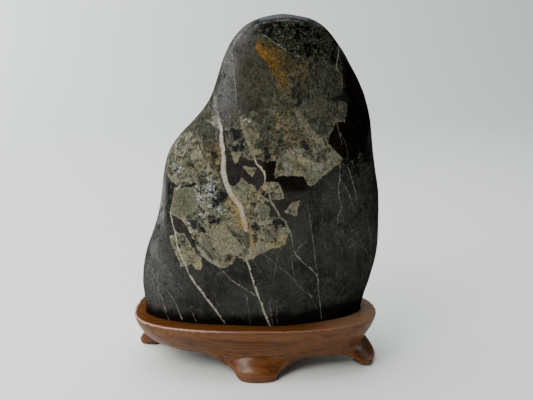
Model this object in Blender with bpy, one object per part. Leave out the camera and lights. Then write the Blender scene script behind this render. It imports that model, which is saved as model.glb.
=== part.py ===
"""A scholar's rock, an upright water-worn stone, resting in a carved wooden stand on four feet."""

import math

import bmesh
import bpy
import numpy as np

for old_object in list(bpy.data.objects):
    bpy.data.objects.remove(old_object, do_unlink=True)

# Sizes are in millimetres, with the origin at the middle of the footprint and the feet on z = 0.
MILLIMETRE = 0.001
STONE_RING_POINTS = 28
BOWL_RING_POINTS = 32
FOOT_RING_POINTS = 20
SEAT_GAP = 0.35
RIM_HALF_WIDTH = 62.9
RIM_HALF_DEPTH = 33.2
# How full the outline is in each quarter: back right, back left, front left, front right.
RIM_FULLNESS = (2.4, 3.8, 2.6, 2.5)
STONE_FULLNESS = (2.6, 2.5, 2.5, 1.95)
STONE_SHOULDER = -3.0

# The stone, from its buried base to its top: height, left, right, front, back.
STONE_SECTIONS = (
    (15.0, -46.0, 44.5, -15.5, 18.5),
    (16.8, -51.5, 49.5, -19.5, 22.0),
    (20.5, -55.0, 52.8, -22.8, 24.8),
    (27.0, -57.0, 55.0, -24.8, 26.6),
    (35.0, -58.2, 57.4, -26.2, 27.6),
    (46.0, -58.4, 60.4, -27.4, 28.2),
    (58.0, -55.8, 62.6, -28.0, 28.4),
    (72.0, -50.6, 63.2, -27.8, 28.2),
    (86.0, -47.6, 62.8, -27.4, 27.6),
    (98.0, -46.2, 60.8, -26.8, 27.0),
    (108.0, -44.2, 59.3, -26.2, 26.4),
    (116.0, -39.4, 58.6, -25.6, 25.8),
    (124.0, -31.4, 57.6, -25.0, 25.0),
    (132.0, -23.9, 56.1, -24.4, 24.2),
    (141.0, -19.5, 52.8, -23.8, 23.2),
    (150.0, -17.5, 48.0, -22.8, 22.0),
    (159.0, -14.1, 42.0, -21.4, 20.2),
    (166.8, -9.2, 36.8, -19.2, 17.6),
    (172.2, -2.8, 30.6, -15.8, 14.0),
    (175.1, 5.6, 23.6, -11.0, 8.8),
)

# Swells and hollows worn into the stone: across, up, side (-1 front, 1 back), reach across, reach up, rise.
STONE_RELIEF = (
    ("hollow under the peak", -1.0, 138.0, -1, 11.0, 15.0, -1.6),
    ("swell of the peak", 24.0, 150.0, -1, 13.0, 14.0, 0.8),
    ("swell of the shoulder", -24.0, 92.0, -1, 16.0, 16.0, 1.0),
    ("hollow by the left flank", -49.0, 60.0, -1, 8.0, 24.0, -2.4),
    ("swell over the rim", 14.0, 30.0, -1, 13.0, 14.0, 2.0),
    ("hollow above the rim on the left", -28.0, 24.0, -1, 16.0, 8.0, -0.8),
    ("long hollow of the back", -8.0, 104.0, 1, 12.0, 26.0, -2.4),
    ("ridge of the back", 22.0, 98.0, 1, 12.0, 36.0, 1.8),
    ("foot swell of the back", -26.0, 52.0, 1, 18.0, 16.0, 1.4),
    ("hollow of the back by the right flank", 47.0, 66.0, 1, 10.0, 24.0, -2.0),
)

# The bowl of the stand, from its underside to its rim: height, inset from the rim, sag towards the right.
BOWL_SECTIONS = (
    (9.6, 15.6, 2.4),
    (9.9, 12.9, 2.3),
    (11.8, 9.2, 1.8),
    (15.2, 5.4, 0.9),
    (19.2, 2.5, 0.2),
    (22.8, 0.8, 0.0),
    (25.2, 0.0, 0.0),
    (26.3, 0.4, 0.0),
    (27.0, 2.6, 0.0),
)
SAG_REACH = 34.0

# A foot, from the ground up: height, toe set back from the reach, heel set back, widening above the sole.
FOOT_SECTIONS = (
    (0.0, 1.6, 11.2, -1.2),
    (0.8, 0.5, 11.8, -0.3),
    (2.4, 0.0, 12.6, 0.0),
    (4.4, 0.5, 13.6, 0.5),
    (6.4, 1.9, 15.2, 1.9),
    (8.2, 4.0, 17.6, 4.3),
    (9.8, 6.6, 20.4, 8.0),
    (11.4, 9.4, 22.5, 11.5),
    (12.6, 11.6, 23.0, 14.0),
)
FOOT_FULLNESS = (3.4, 3.4, 3.4, 3.4)

# Where each foot points: angle from the +X side, toe across and along, half width, share of the widening.
FEET = (
    ("front", -90.0, 1.2, -34.3, 10.4, 1.0),
    ("right", -14.0, 61.9, -3.4, 10.0, 0.65),
    ("back", 90.0, -4.0, 34.3, 9.7, 1.0),
    ("left", 165.0, -61.6, 22.0, 8.0, 0.4),
)


def rounded_ring(count, left, right, front, back, fullness, middle_x):
    """A closed outline whose four quarters meet smoothly at the given extents."""
    middle_y = (front + back) / 2
    ring_x = np.zeros(count)
    ring_y = np.zeros(count)
    for index in range(count):
        angle = index * 2 * math.pi / count
        quarter = index * 4 // count
        across = math.cos(angle)
        along = math.sin(angle)
        power = 2 / fullness[quarter]
        half_width = right - middle_x if across > 0 else middle_x - left
        ring_x[index] = middle_x + math.copysign(abs(across) ** power, across) * half_width
        ring_y[index] = middle_y + math.copysign(abs(along) ** power, along) * (back - front) / 2
    return ring_x, ring_y


def loft(name, rings):
    """A closed solid through rings of points, each given as three arrays."""
    mesh_data = bmesh.new()
    rows = []
    for ring_x, ring_y, ring_z in rings:
        points = zip(ring_x * MILLIMETRE, ring_y * MILLIMETRE, ring_z * MILLIMETRE)
        rows.append([mesh_data.verts.new(point) for point in points])
    for lower, upper in zip(rows, rows[1:]):
        for index in range(len(lower)):
            following = (index + 1) % len(lower)
            mesh_data.faces.new((lower[index], lower[following], upper[following], upper[index]))
    mesh_data.faces.new(rows[0])
    mesh_data.faces.new(rows[-1])
    bmesh.ops.recalc_face_normals(mesh_data, faces=mesh_data.faces)
    mesh = bpy.data.meshes.new(name)
    mesh_data.to_mesh(mesh)
    mesh_data.free()
    solid = bpy.data.objects.new(name, mesh)
    bpy.context.scene.collection.objects.link(solid)
    return solid


def subdivide(solid):
    """Round a loft with one level of subdivision and keep the result."""
    smoothing = solid.modifiers.new("rounding", "SUBSURF")
    smoothing.levels = 1
    smoothing.render_levels = 1
    apply_modifiers(solid)


def apply_modifiers(solid):
    """Replace the mesh of a solid with what its modifiers make of it."""
    graph = bpy.context.evaluated_depsgraph_get()
    finished = bpy.data.meshes.new_from_object(solid.evaluated_get(graph))
    solid.modifiers.clear()
    solid.data = finished


def combine(solid, other, operation):
    """Join another solid to this one, or cut it away, and remove the other."""
    joining = solid.modifiers.new("combine", "BOOLEAN")
    joining.operation = operation
    joining.solver = "EXACT"
    joining.object = other
    apply_modifiers(solid)
    bpy.data.objects.remove(other, do_unlink=True)


def make_stone(name):
    rings = []
    for height, left, right, front, back in STONE_SECTIONS:
        middle = (left + right) / 2 + STONE_SHOULDER
        ring_x, ring_y = rounded_ring(STONE_RING_POINTS, left, right, front, back, STONE_FULLNESS, middle)
        rings.append((ring_x, ring_y, np.full(STONE_RING_POINTS, height)))
    stone = loft(name, rings)
    subdivide(stone)
    for vertex in stone.data.vertices:
        across, depth, up = vertex.co / MILLIMETRE
        for _, centre_x, centre_z, side, reach_x, reach_z, rise in STONE_RELIEF:
            if depth * side > 0:
                distance = ((across - centre_x) / reach_x) ** 2 + ((up - centre_z) / reach_z) ** 2
                depth += side * rise * math.exp(-distance / 2) * min(1.0, abs(depth) / 12)
        vertex.co.y = depth * MILLIMETRE
    return stone


def make_bowl(name):
    rings = []
    for height, inset, sag in BOWL_SECTIONS:
        half_width = RIM_HALF_WIDTH - inset
        half_depth = RIM_HALF_DEPTH - inset
        ring_x, ring_y = rounded_ring(
            BOWL_RING_POINTS, -half_width, half_width, -half_depth, half_depth, RIM_FULLNESS, 0.0
        )
        rings.append((ring_x, ring_y, height - sag * np.clip(ring_x / SAG_REACH, 0, 1)))
    bowl = loft(name, rings)
    subdivide(bowl)
    return bowl


def make_foot(name, angle, toe_x, toe_y, sole_half_width, spread):
    rings = []
    turn = math.radians(angle)
    for height, toe, heel, widening in FOOT_SECTIONS:
        half_width = sole_half_width + widening * (spread if widening > 0 else 1.0)
        outward, sideways = rounded_ring(
            FOOT_RING_POINTS, -heel, -toe, -half_width, half_width, FOOT_FULLNESS, -(heel + toe) / 2
        )
        ring_x = toe_x + outward * math.cos(turn) - sideways * math.sin(turn)
        ring_y = toe_y + outward * math.sin(turn) + sideways * math.cos(turn)
        rings.append((ring_x, ring_y, np.full(FOOT_RING_POINTS, height)))
    return loft(name, rings)


def make_material(name, colour, roughness):
    material = bpy.data.materials.new(name)
    material.use_nodes = True
    surface = material.node_tree.nodes["Principled BSDF"]
    surface.inputs["Base Color"].default_value = (*colour, 1.0)
    surface.inputs["Roughness"].default_value = roughness
    return material


stone = make_stone("stone")

stand = make_bowl("stand")
for foot_name, foot_angle, toe_x, toe_y, sole_half_width, spread in FEET:
    foot = make_foot(foot_name + " foot", foot_angle, toe_x, toe_y, sole_half_width, spread)
    combine(stand, foot, "UNION")

# The seat is carved to the stone's own base, a little larger all round.
seat = bpy.data.objects.new("seat", stone.data.copy())
bpy.context.scene.collection.objects.link(seat)
seat_normals = [vertex.normal.copy() for vertex in seat.data.vertices]
for vertex, normal in zip(seat.data.vertices, seat_normals):
    vertex.co += normal * SEAT_GAP * MILLIMETRE
combine(stand, seat, "DIFFERENCE")

stone.data.materials.append(make_material("dark stone", (0.07, 0.07, 0.06), 0.4))
stand.data.materials.clear()
stand.data.materials.append(make_material("carved wood", (0.16, 0.055, 0.022), 0.4))

for solid in (stone, stand):
    solid.data.name = solid.name
    for polygon in solid.data.polygons:
        polygon.use_smooth = True
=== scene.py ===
import math
from types import SimpleNamespace

import bmesh
import bpy
import numpy as np
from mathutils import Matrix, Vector


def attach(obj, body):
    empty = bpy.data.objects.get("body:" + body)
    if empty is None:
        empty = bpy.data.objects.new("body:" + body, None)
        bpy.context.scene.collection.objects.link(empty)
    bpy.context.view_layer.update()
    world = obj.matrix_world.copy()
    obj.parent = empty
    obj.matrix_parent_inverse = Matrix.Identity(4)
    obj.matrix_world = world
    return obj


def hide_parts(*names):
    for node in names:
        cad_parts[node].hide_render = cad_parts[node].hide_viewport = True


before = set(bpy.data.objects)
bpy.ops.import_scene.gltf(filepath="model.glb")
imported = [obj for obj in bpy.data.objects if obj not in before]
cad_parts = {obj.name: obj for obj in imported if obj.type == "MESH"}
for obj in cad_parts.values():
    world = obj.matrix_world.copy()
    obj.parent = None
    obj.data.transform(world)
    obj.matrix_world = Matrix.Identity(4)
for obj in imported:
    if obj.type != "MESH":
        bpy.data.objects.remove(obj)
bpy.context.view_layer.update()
mm = 0.001


class Value:
    # a shader socket that works in plain expressions
    def __init__(self, board, socket):
        self.board = board
        self.socket = socket

    def __add__(self, other):
        return self.board.calc("ADD", self, other)

    def __sub__(self, other):
        return self.board.calc("SUBTRACT", self, other)

    def __rsub__(self, other):
        return self.board.calc("SUBTRACT", other, self)

    def __mul__(self, other):
        return self.board.calc("MULTIPLY", self, other)

    def __truediv__(self, other):
        return self.board.calc("DIVIDE", self, other)

    def __rtruediv__(self, other):
        return self.board.calc("DIVIDE", other, self)

    def __abs__(self):
        return self.board.calc("ABSOLUTE", self)

    __radd__ = __add__
    __rmul__ = __mul__

    def clamped(self):
        return self.board.calc("ADD", self, 0.0, clamp=True)

    def ramp(self, low, high):
        return ((self - low) / (high - low)).clamped()


class Board:
    # one material, its nodes and its surface shader; point is the place on the piece in mm
    def __init__(self, name):
        self.material = bpy.data.materials.new(name)
        self.material.use_nodes = True
        self.tree = self.material.node_tree
        self.tree.nodes.clear()
        self.shader = self.tree.nodes.new("ShaderNodeBsdfPrincipled")
        output = self.tree.nodes.new("ShaderNodeOutputMaterial")
        self.tree.links.new(self.shader.outputs[0], output.inputs["Surface"])
        self.point = self.scaled(self.add("ShaderNodeTexCoord", output="Object"), 1 / mm)

    def feed(self, socket, value):
        if isinstance(value, Value):
            self.tree.links.new(value.socket, socket)
        elif isinstance(value, tuple) and len(value) == 3 and socket.type == "RGBA":
            socket.default_value = (*value, 1.0)
        else:
            socket.default_value = value

    def add(self, kind, settings=(), sockets=(), output=0):
        node = self.tree.nodes.new(kind)
        for name, value in dict(settings).items():
            setattr(node, name, value)
        for key, value in dict(sockets).items():
            self.feed(node.inputs[key], value)
        return Value(self, node.outputs[output])

    def calc(self, operation, *values, clamp=False):
        return self.add("ShaderNodeMath", {"operation": operation, "use_clamp": clamp}, enumerate(values))

    def vector(self, operation, *values):
        return self.add("ShaderNodeVectorMath", {"operation": operation}, enumerate(values))

    def scaled(self, value, scale):
        return self.add("ShaderNodeVectorMath", {"operation": "SCALE"}, {0: value, "Scale": scale})

    def stretched(self, x, y, z):
        return self.vector("MULTIPLY", self.point, (x, y, z))

    def mix(self, factor, first, second):
        return self.add("ShaderNodeMix", {"data_type": "RGBA"}, {0: factor, 6: first, 7: second}, 2)

    def layered(self, colour, *layers):
        # each layer is (how much, colour), laid over what is there
        for factor, shade in layers:
            colour = self.mix(factor, colour, shade)
        return colour

    def noise(self, point, scale, detail=2.0, roughness=0.5, distortion=0.0, output=0):
        sockets = {"Vector": point, "Scale": scale, "Detail": detail, "Roughness": roughness}
        return self.add("ShaderNodeTexNoise", (), {**sockets, "Distortion": distortion}, output)

    def cells(self, point, scale, feature="F1", output="Distance"):
        sockets = {"Vector": point, "Scale": scale}
        return self.add("ShaderNodeTexVoronoi", {"feature": feature}, sockets, output)

    def attribute(self, name, output="Fac"):
        return self.add("ShaderNodeAttribute", {"attribute_name": name}, (), output)

    def parts(self, value):
        first = self.add("ShaderNodeSeparateXYZ", (), {0: value})
        return [Value(self, socket) for socket in first.socket.node.outputs]

    def bump(self, height, strength, distance):
        return self.add("ShaderNodeBump", (), {"Strength": strength, "Distance": distance, "Height": height})

    def finish(self, **inputs):
        for name, value in inputs.items():
            self.feed(self.shader.inputs[name.replace("_", " ")], value)
        return self.material


def mergedCopy(nodeName, pieceName):
    # a solid's loose triangles, joined into one skin
    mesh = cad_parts[nodeName].data.copy()
    work = bmesh.new()
    work.from_mesh(mesh)
    bmesh.ops.remove_doubles(work, verts=work.verts, dist=0.01 * mm)
    bmesh.ops.join_triangles(work, faces=work.faces, angle_face_threshold=0.6, angle_shape_threshold=1.2)
    bmesh.ops.recalc_face_normals(work, faces=work.faces)
    work.to_mesh(mesh)
    work.free()
    mesh.name = pieceName
    piece = bpy.data.objects.new(pieceName, mesh)
    bpy.context.scene.collection.objects.link(piece)
    return piece


def applied(piece, *modifiers):
    for kind, settings in modifiers:
        modifier = piece.modifiers.new(kind, kind)
        for name, value in settings.items():
            setattr(modifier, name, value)
    graph = bpy.context.evaluated_depsgraph_get()
    mesh = bpy.data.meshes.new_from_object(piece.evaluated_get(graph))
    piece.modifiers.clear()
    piece.data = mesh
    mesh.name = piece.name
    mesh.materials.clear()


def readVectors(mesh, name):
    flat = np.empty(len(mesh.vertices) * 3)
    mesh.vertices.foreach_get(name, flat)
    return flat.reshape(-1, 3)


def writePoints(mesh, points):
    mesh.vertices.foreach_set("co", (points * mm).ravel())
    mesh.update()


def writeField(mesh, name, values):
    kind, key = ("FLOAT", "value") if values.ndim == 1 else ("FLOAT_VECTOR", "vector")
    field = mesh.attributes.new(name, kind, "POINT")
    field.data.foreach_set(key, values.astype(np.float32).ravel())


def smoothStep(values, low, high):
    part = np.clip((values - low) / (high - low), 0, 1)
    return part * part * (3 - 2 * part)


def smoothNoise(points, size, seed):
    # soft steps between the random numbers of one lattice
    side = 24
    lattice = np.random.default_rng(seed).uniform(-1, 1, (side, side, side))
    place = points / size + side / 2
    cell = np.floor(place).astype(int)
    part = smoothStep(place - cell, 0, 1)
    total = np.zeros(len(points))
    for step in range(8):
        corner = np.array([(step >> axis) & 1 for axis in range(3)])
        weight = np.prod(np.where(corner, part, 1 - part), axis=1)
        index = (cell + corner) % side
        total += weight * lattice[index[:, 0], index[:, 1], index[:, 2]]
    return total


def shadeSmooth(piece):
    piece.data.polygons.foreach_set("use_smooth", [True] * len(piece.data.polygons))


def install(piece, nodeName, material):
    piece.data.materials.append(material)
    shadeSmooth(piece)
    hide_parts(nodeName)
    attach(piece, "root")


# colours of the stone: its dark ground first
rock = {
    "soot": (0.0115, 0.0110, 0.0105),
    "slate": (0.0252, 0.0257, 0.0224),
    "mauve": (0.0180, 0.0118, 0.0128),
    "ash": (0.048, 0.0465, 0.040),
    "pit": (0.0050, 0.0050, 0.0045),
    "hair": (0.095, 0.093, 0.083),
    "scratch": (0.105, 0.104, 0.096),
    # painted sheen on the left flank, the shoulder and the top left, its pale speckle and a lighter band far
    # round the flank
    "haze": (0.098, 0.094, 0.093),
    "sheenSpeckle": (0.20, 0.195, 0.19),
    "flank": (0.135, 0.129, 0.126),
    "dusk": (0.0175, 0.0170, 0.0135),
    "duskMottle": (0.046, 0.0455, 0.033),
    "duskGrain": (0.088, 0.070, 0.034),
    # painted reflection on the left flank
    "flankReflection": (0.20, 0.205, 0.205),
    # near-black ground; on the right flank it also stands for painted shade
    "night": (0.0010, 0.0011, 0.0009),
    "nightPale": (0.012, 0.013, 0.008),
    "spark": (0.115, 0.120, 0.092),
    "void": (0.0018, 0.0012, 0.0010),
    "ember": (0.022, 0.011, 0.008),
    # painted shade low down, where the stone sits in the stand
    "underShade": (0.0034, 0.0026, 0.0021),
    # painted reflection of the light along the top edge
    "crest": (0.085, 0.090, 0.098),
    # the pale patches
    "moss": (0.026, 0.027, 0.019),
    "lichen": (0.095, 0.093, 0.069),
    "sand": (0.228, 0.210, 0.158),
    "slabDark": (0.020, 0.025, 0.018),
    "slabPale": (0.130, 0.138, 0.096),
    "buffDark": (0.060, 0.046, 0.021),
    "buffPale": (0.29, 0.228, 0.108),
    "umbra": (0.024, 0.023, 0.020),
    "greenDark": (0.046, 0.0455, 0.031),
    "greenPale": (0.130, 0.124, 0.084),
    "creamDark": (0.098, 0.088, 0.058),
    "creamPale": (0.235, 0.210, 0.142),
    "highDark": (0.0085, 0.0095, 0.007),
    "highPale": (0.053, 0.051, 0.037),
    "highBuffDark": (0.014, 0.0115, 0.006),
    "highBuffPale": (0.100, 0.082, 0.042),
    "fleck": (0.0065, 0.008, 0.0095),
    "edge": (0.25, 0.208, 0.115),
    # the stain, blots, white flecks and veins
    "mustardDark": (0.018, 0.0165, 0.008),
    "mustard": (0.106, 0.089, 0.040),
    "rust": (0.155, 0.087, 0.019),
    "orange": (0.30, 0.112, 0.008),
    "crack": (0.013, 0.008, 0.004),
    "network": (0.011, 0.007, 0.004),
    "rustAside": (0.285, 0.185, 0.068),
    "blot": (0.0055, 0.006, 0.0082),
    "frost": (0.42, 0.43, 0.44),
    "veinDull": (0.080, 0.073, 0.048),
    "vein": (0.365, 0.342, 0.282),
    "veinGlint": (0.62, 0.57, 0.50),
    "veinDirt": (0.11, 0.095, 0.07),
    "veinRust": (0.30, 0.17, 0.06),
}

# places on the stone are (across, up) in mm, and across runs on round the flanks
patches = {
    "upperRight": (
        (13.4, 141.5), (15.2, 146), (16.5, 151.4), (17.5, 155.9), (25.8, 156.7), (33, 155.7), (41.5, 153.7),
        (48.9, 150.8), (48, 149.9), (46.5, 143.1), (44, 138.6), (35.2, 136.8), (44.6, 136.2), (48.6, 134.7),
        (48.5, 130.5), (47, 125.9), (40.5, 126.2), (38.8, 122.9), (37, 120.2), (36, 116.4), (40.5, 112.9),
        (46.6, 108.3), (43.9, 106.1), (39.8, 104.4), (35.2, 101.8), (31, 99.1), (26.8, 95.9), (24.6, 98.4),
        (22.9, 101.3), (12.8, 101.8), (9.8, 100.5), (9.3, 102.1), (10.2, 106.3), (10.4, 109.1),
        (5.8, 108.2), (1.6, 109.4), (-1.2, 108.7), (-6.4, 111), (-7.8, 109.1), (-8.7, 106.3),
        (-11.1, 113.2), (-12.9, 115.5), (-13.4, 122.7), (-10.8, 129.2), (-3.5, 128.4), (3.9, 131.3),
        (8.5, 135.9),
    ),
    "shoulder": (
        (-38.1, 136.8), (-42.9, 131.8), (-44.3, 126.8), (-49.3, 121.5), (-54.7, 116.5), (-59.8, 111.4),
        (-58.9, 105.4), (-58, 101.2), (-50.5, 97.8), (-44.8, 96), (-41, 95.4), (-33, 96.5), (-25.4, 98.4),
        (-21.5, 100.4), (-17.0, 104.6), (-15.6, 109.2), (-15.8, 115.4), (-18.2, 121.6), (-25.9, 129.5),
    ),
    "lowerLeft": (
        (-44.8, 94.5), (-46.6, 89), (-49.5, 81.3), (-43, 80.1), (-37.4, 78.7), (-34.3, 76.5), (-31.5, 72.8),
        (-28.3, 68.6), (-25, 62.7), (-22.1, 60.1), (-17.8, 57.8), (-15.4, 56.8), (-13.4, 56.9), (-11, 58.9),
        (-9.6, 60.4), (-10, 61.9), (-5.7, 62), (-5.7, 60), (-4, 60), (-0.9, 61.5), (1.9, 63.5), (5.3, 65),
        (8.1, 66.7), (11, 66.8), (14.3, 68.2), (15.8, 71.7), (17.2, 75.5), (16, 76.8), (15.2, 80),
        (12.7, 81.5), (8.1, 82.1), (6.7, 82.6), (7.7, 86.4), (4.4, 89.3), (1.8, 92.7), (1.1, 95.1),
        (0.1, 97.2), (-3.1, 97.9), (-5.6, 101.2), (-7.4, 98.4), (-10.2, 96.5), (-13, 98.3), (-15.3, 103.9),
        (-18.2, 104.3), (-21.5, 100.4), (-25.4, 97.9), (-31.4, 95.6), (-41, 94.6),
    ),
    "lobe": (
        (5.1, 98.4), (2.7, 96.5), (1.8, 93.2), (3.9, 90.5), (5.8, 89.3), (7.6, 89.8), (9.1, 90.7),
        (10.9, 90.2), (14.2, 90.6), (13.5, 93.5), (12.3, 97.1), (10.2, 98.8), (7.6, 98.8),
    ),
    "low": (
        (-48.3, 70.7), (-44.9, 70.6), (-42.3, 72.8), (-35.8, 72.5), (-31.4, 68.4), (-26.9, 63.3),
        (-25.5, 61.9), (-25, 60), (-25.6, 55.4), (-27.5, 55.5), (-29, 57.2), (-30.7, 58.1), (-31.9, 57),
        (-33.8, 56.8), (-37.7, 55.9), (-38.3, 58.4), (-41.1, 61.4), (-44.3, 65.2), (-47.5, 69.3),
    ),
    "diamond": (
        (21.8, 89.9), (17.6, 89.1), (16.6, 86.7), (14.3, 84.4), (17.1, 82.9), (20.2, 81.8), (20.4, 85.2),
    ),
    "triangle": ((-5.5, 106.4), (-3.1, 105.9), (1.8, 105.4), (0.6, 103.6), (-1.3, 101.2), (-3.1, 103.1)),
}

backPatches = {
    "peak": (
        (-6, 158), (4, 163), (16, 160), (28, 151), (38, 140), (41, 128), (35, 124), (30, 129), (24, 121),
        (16, 126), (9, 118), (2, 122), (-4, 133), (-10, 144),
    ),
    "middle": (
        (-40, 96), (-30, 104), (-21, 101), (-12, 106), (-2, 98), (8, 101), (14, 92), (9, 84), (15, 77),
        (5, 72), (-4, 76), (-10, 67), (-20, 70), (-27, 62), (-36, 68), (-41, 79), (-36, 86),
    ),
    "small": ((26, 96), (33, 99), (37, 92), (31, 87), (25, 90)),
    "low": ((22, 62), (31, 66), (39, 60), (35, 52), (26, 49), (20, 54)),
    "left": ((-54, 60), (-47, 64), (-42, 55), (-48, 48)),
}

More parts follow.
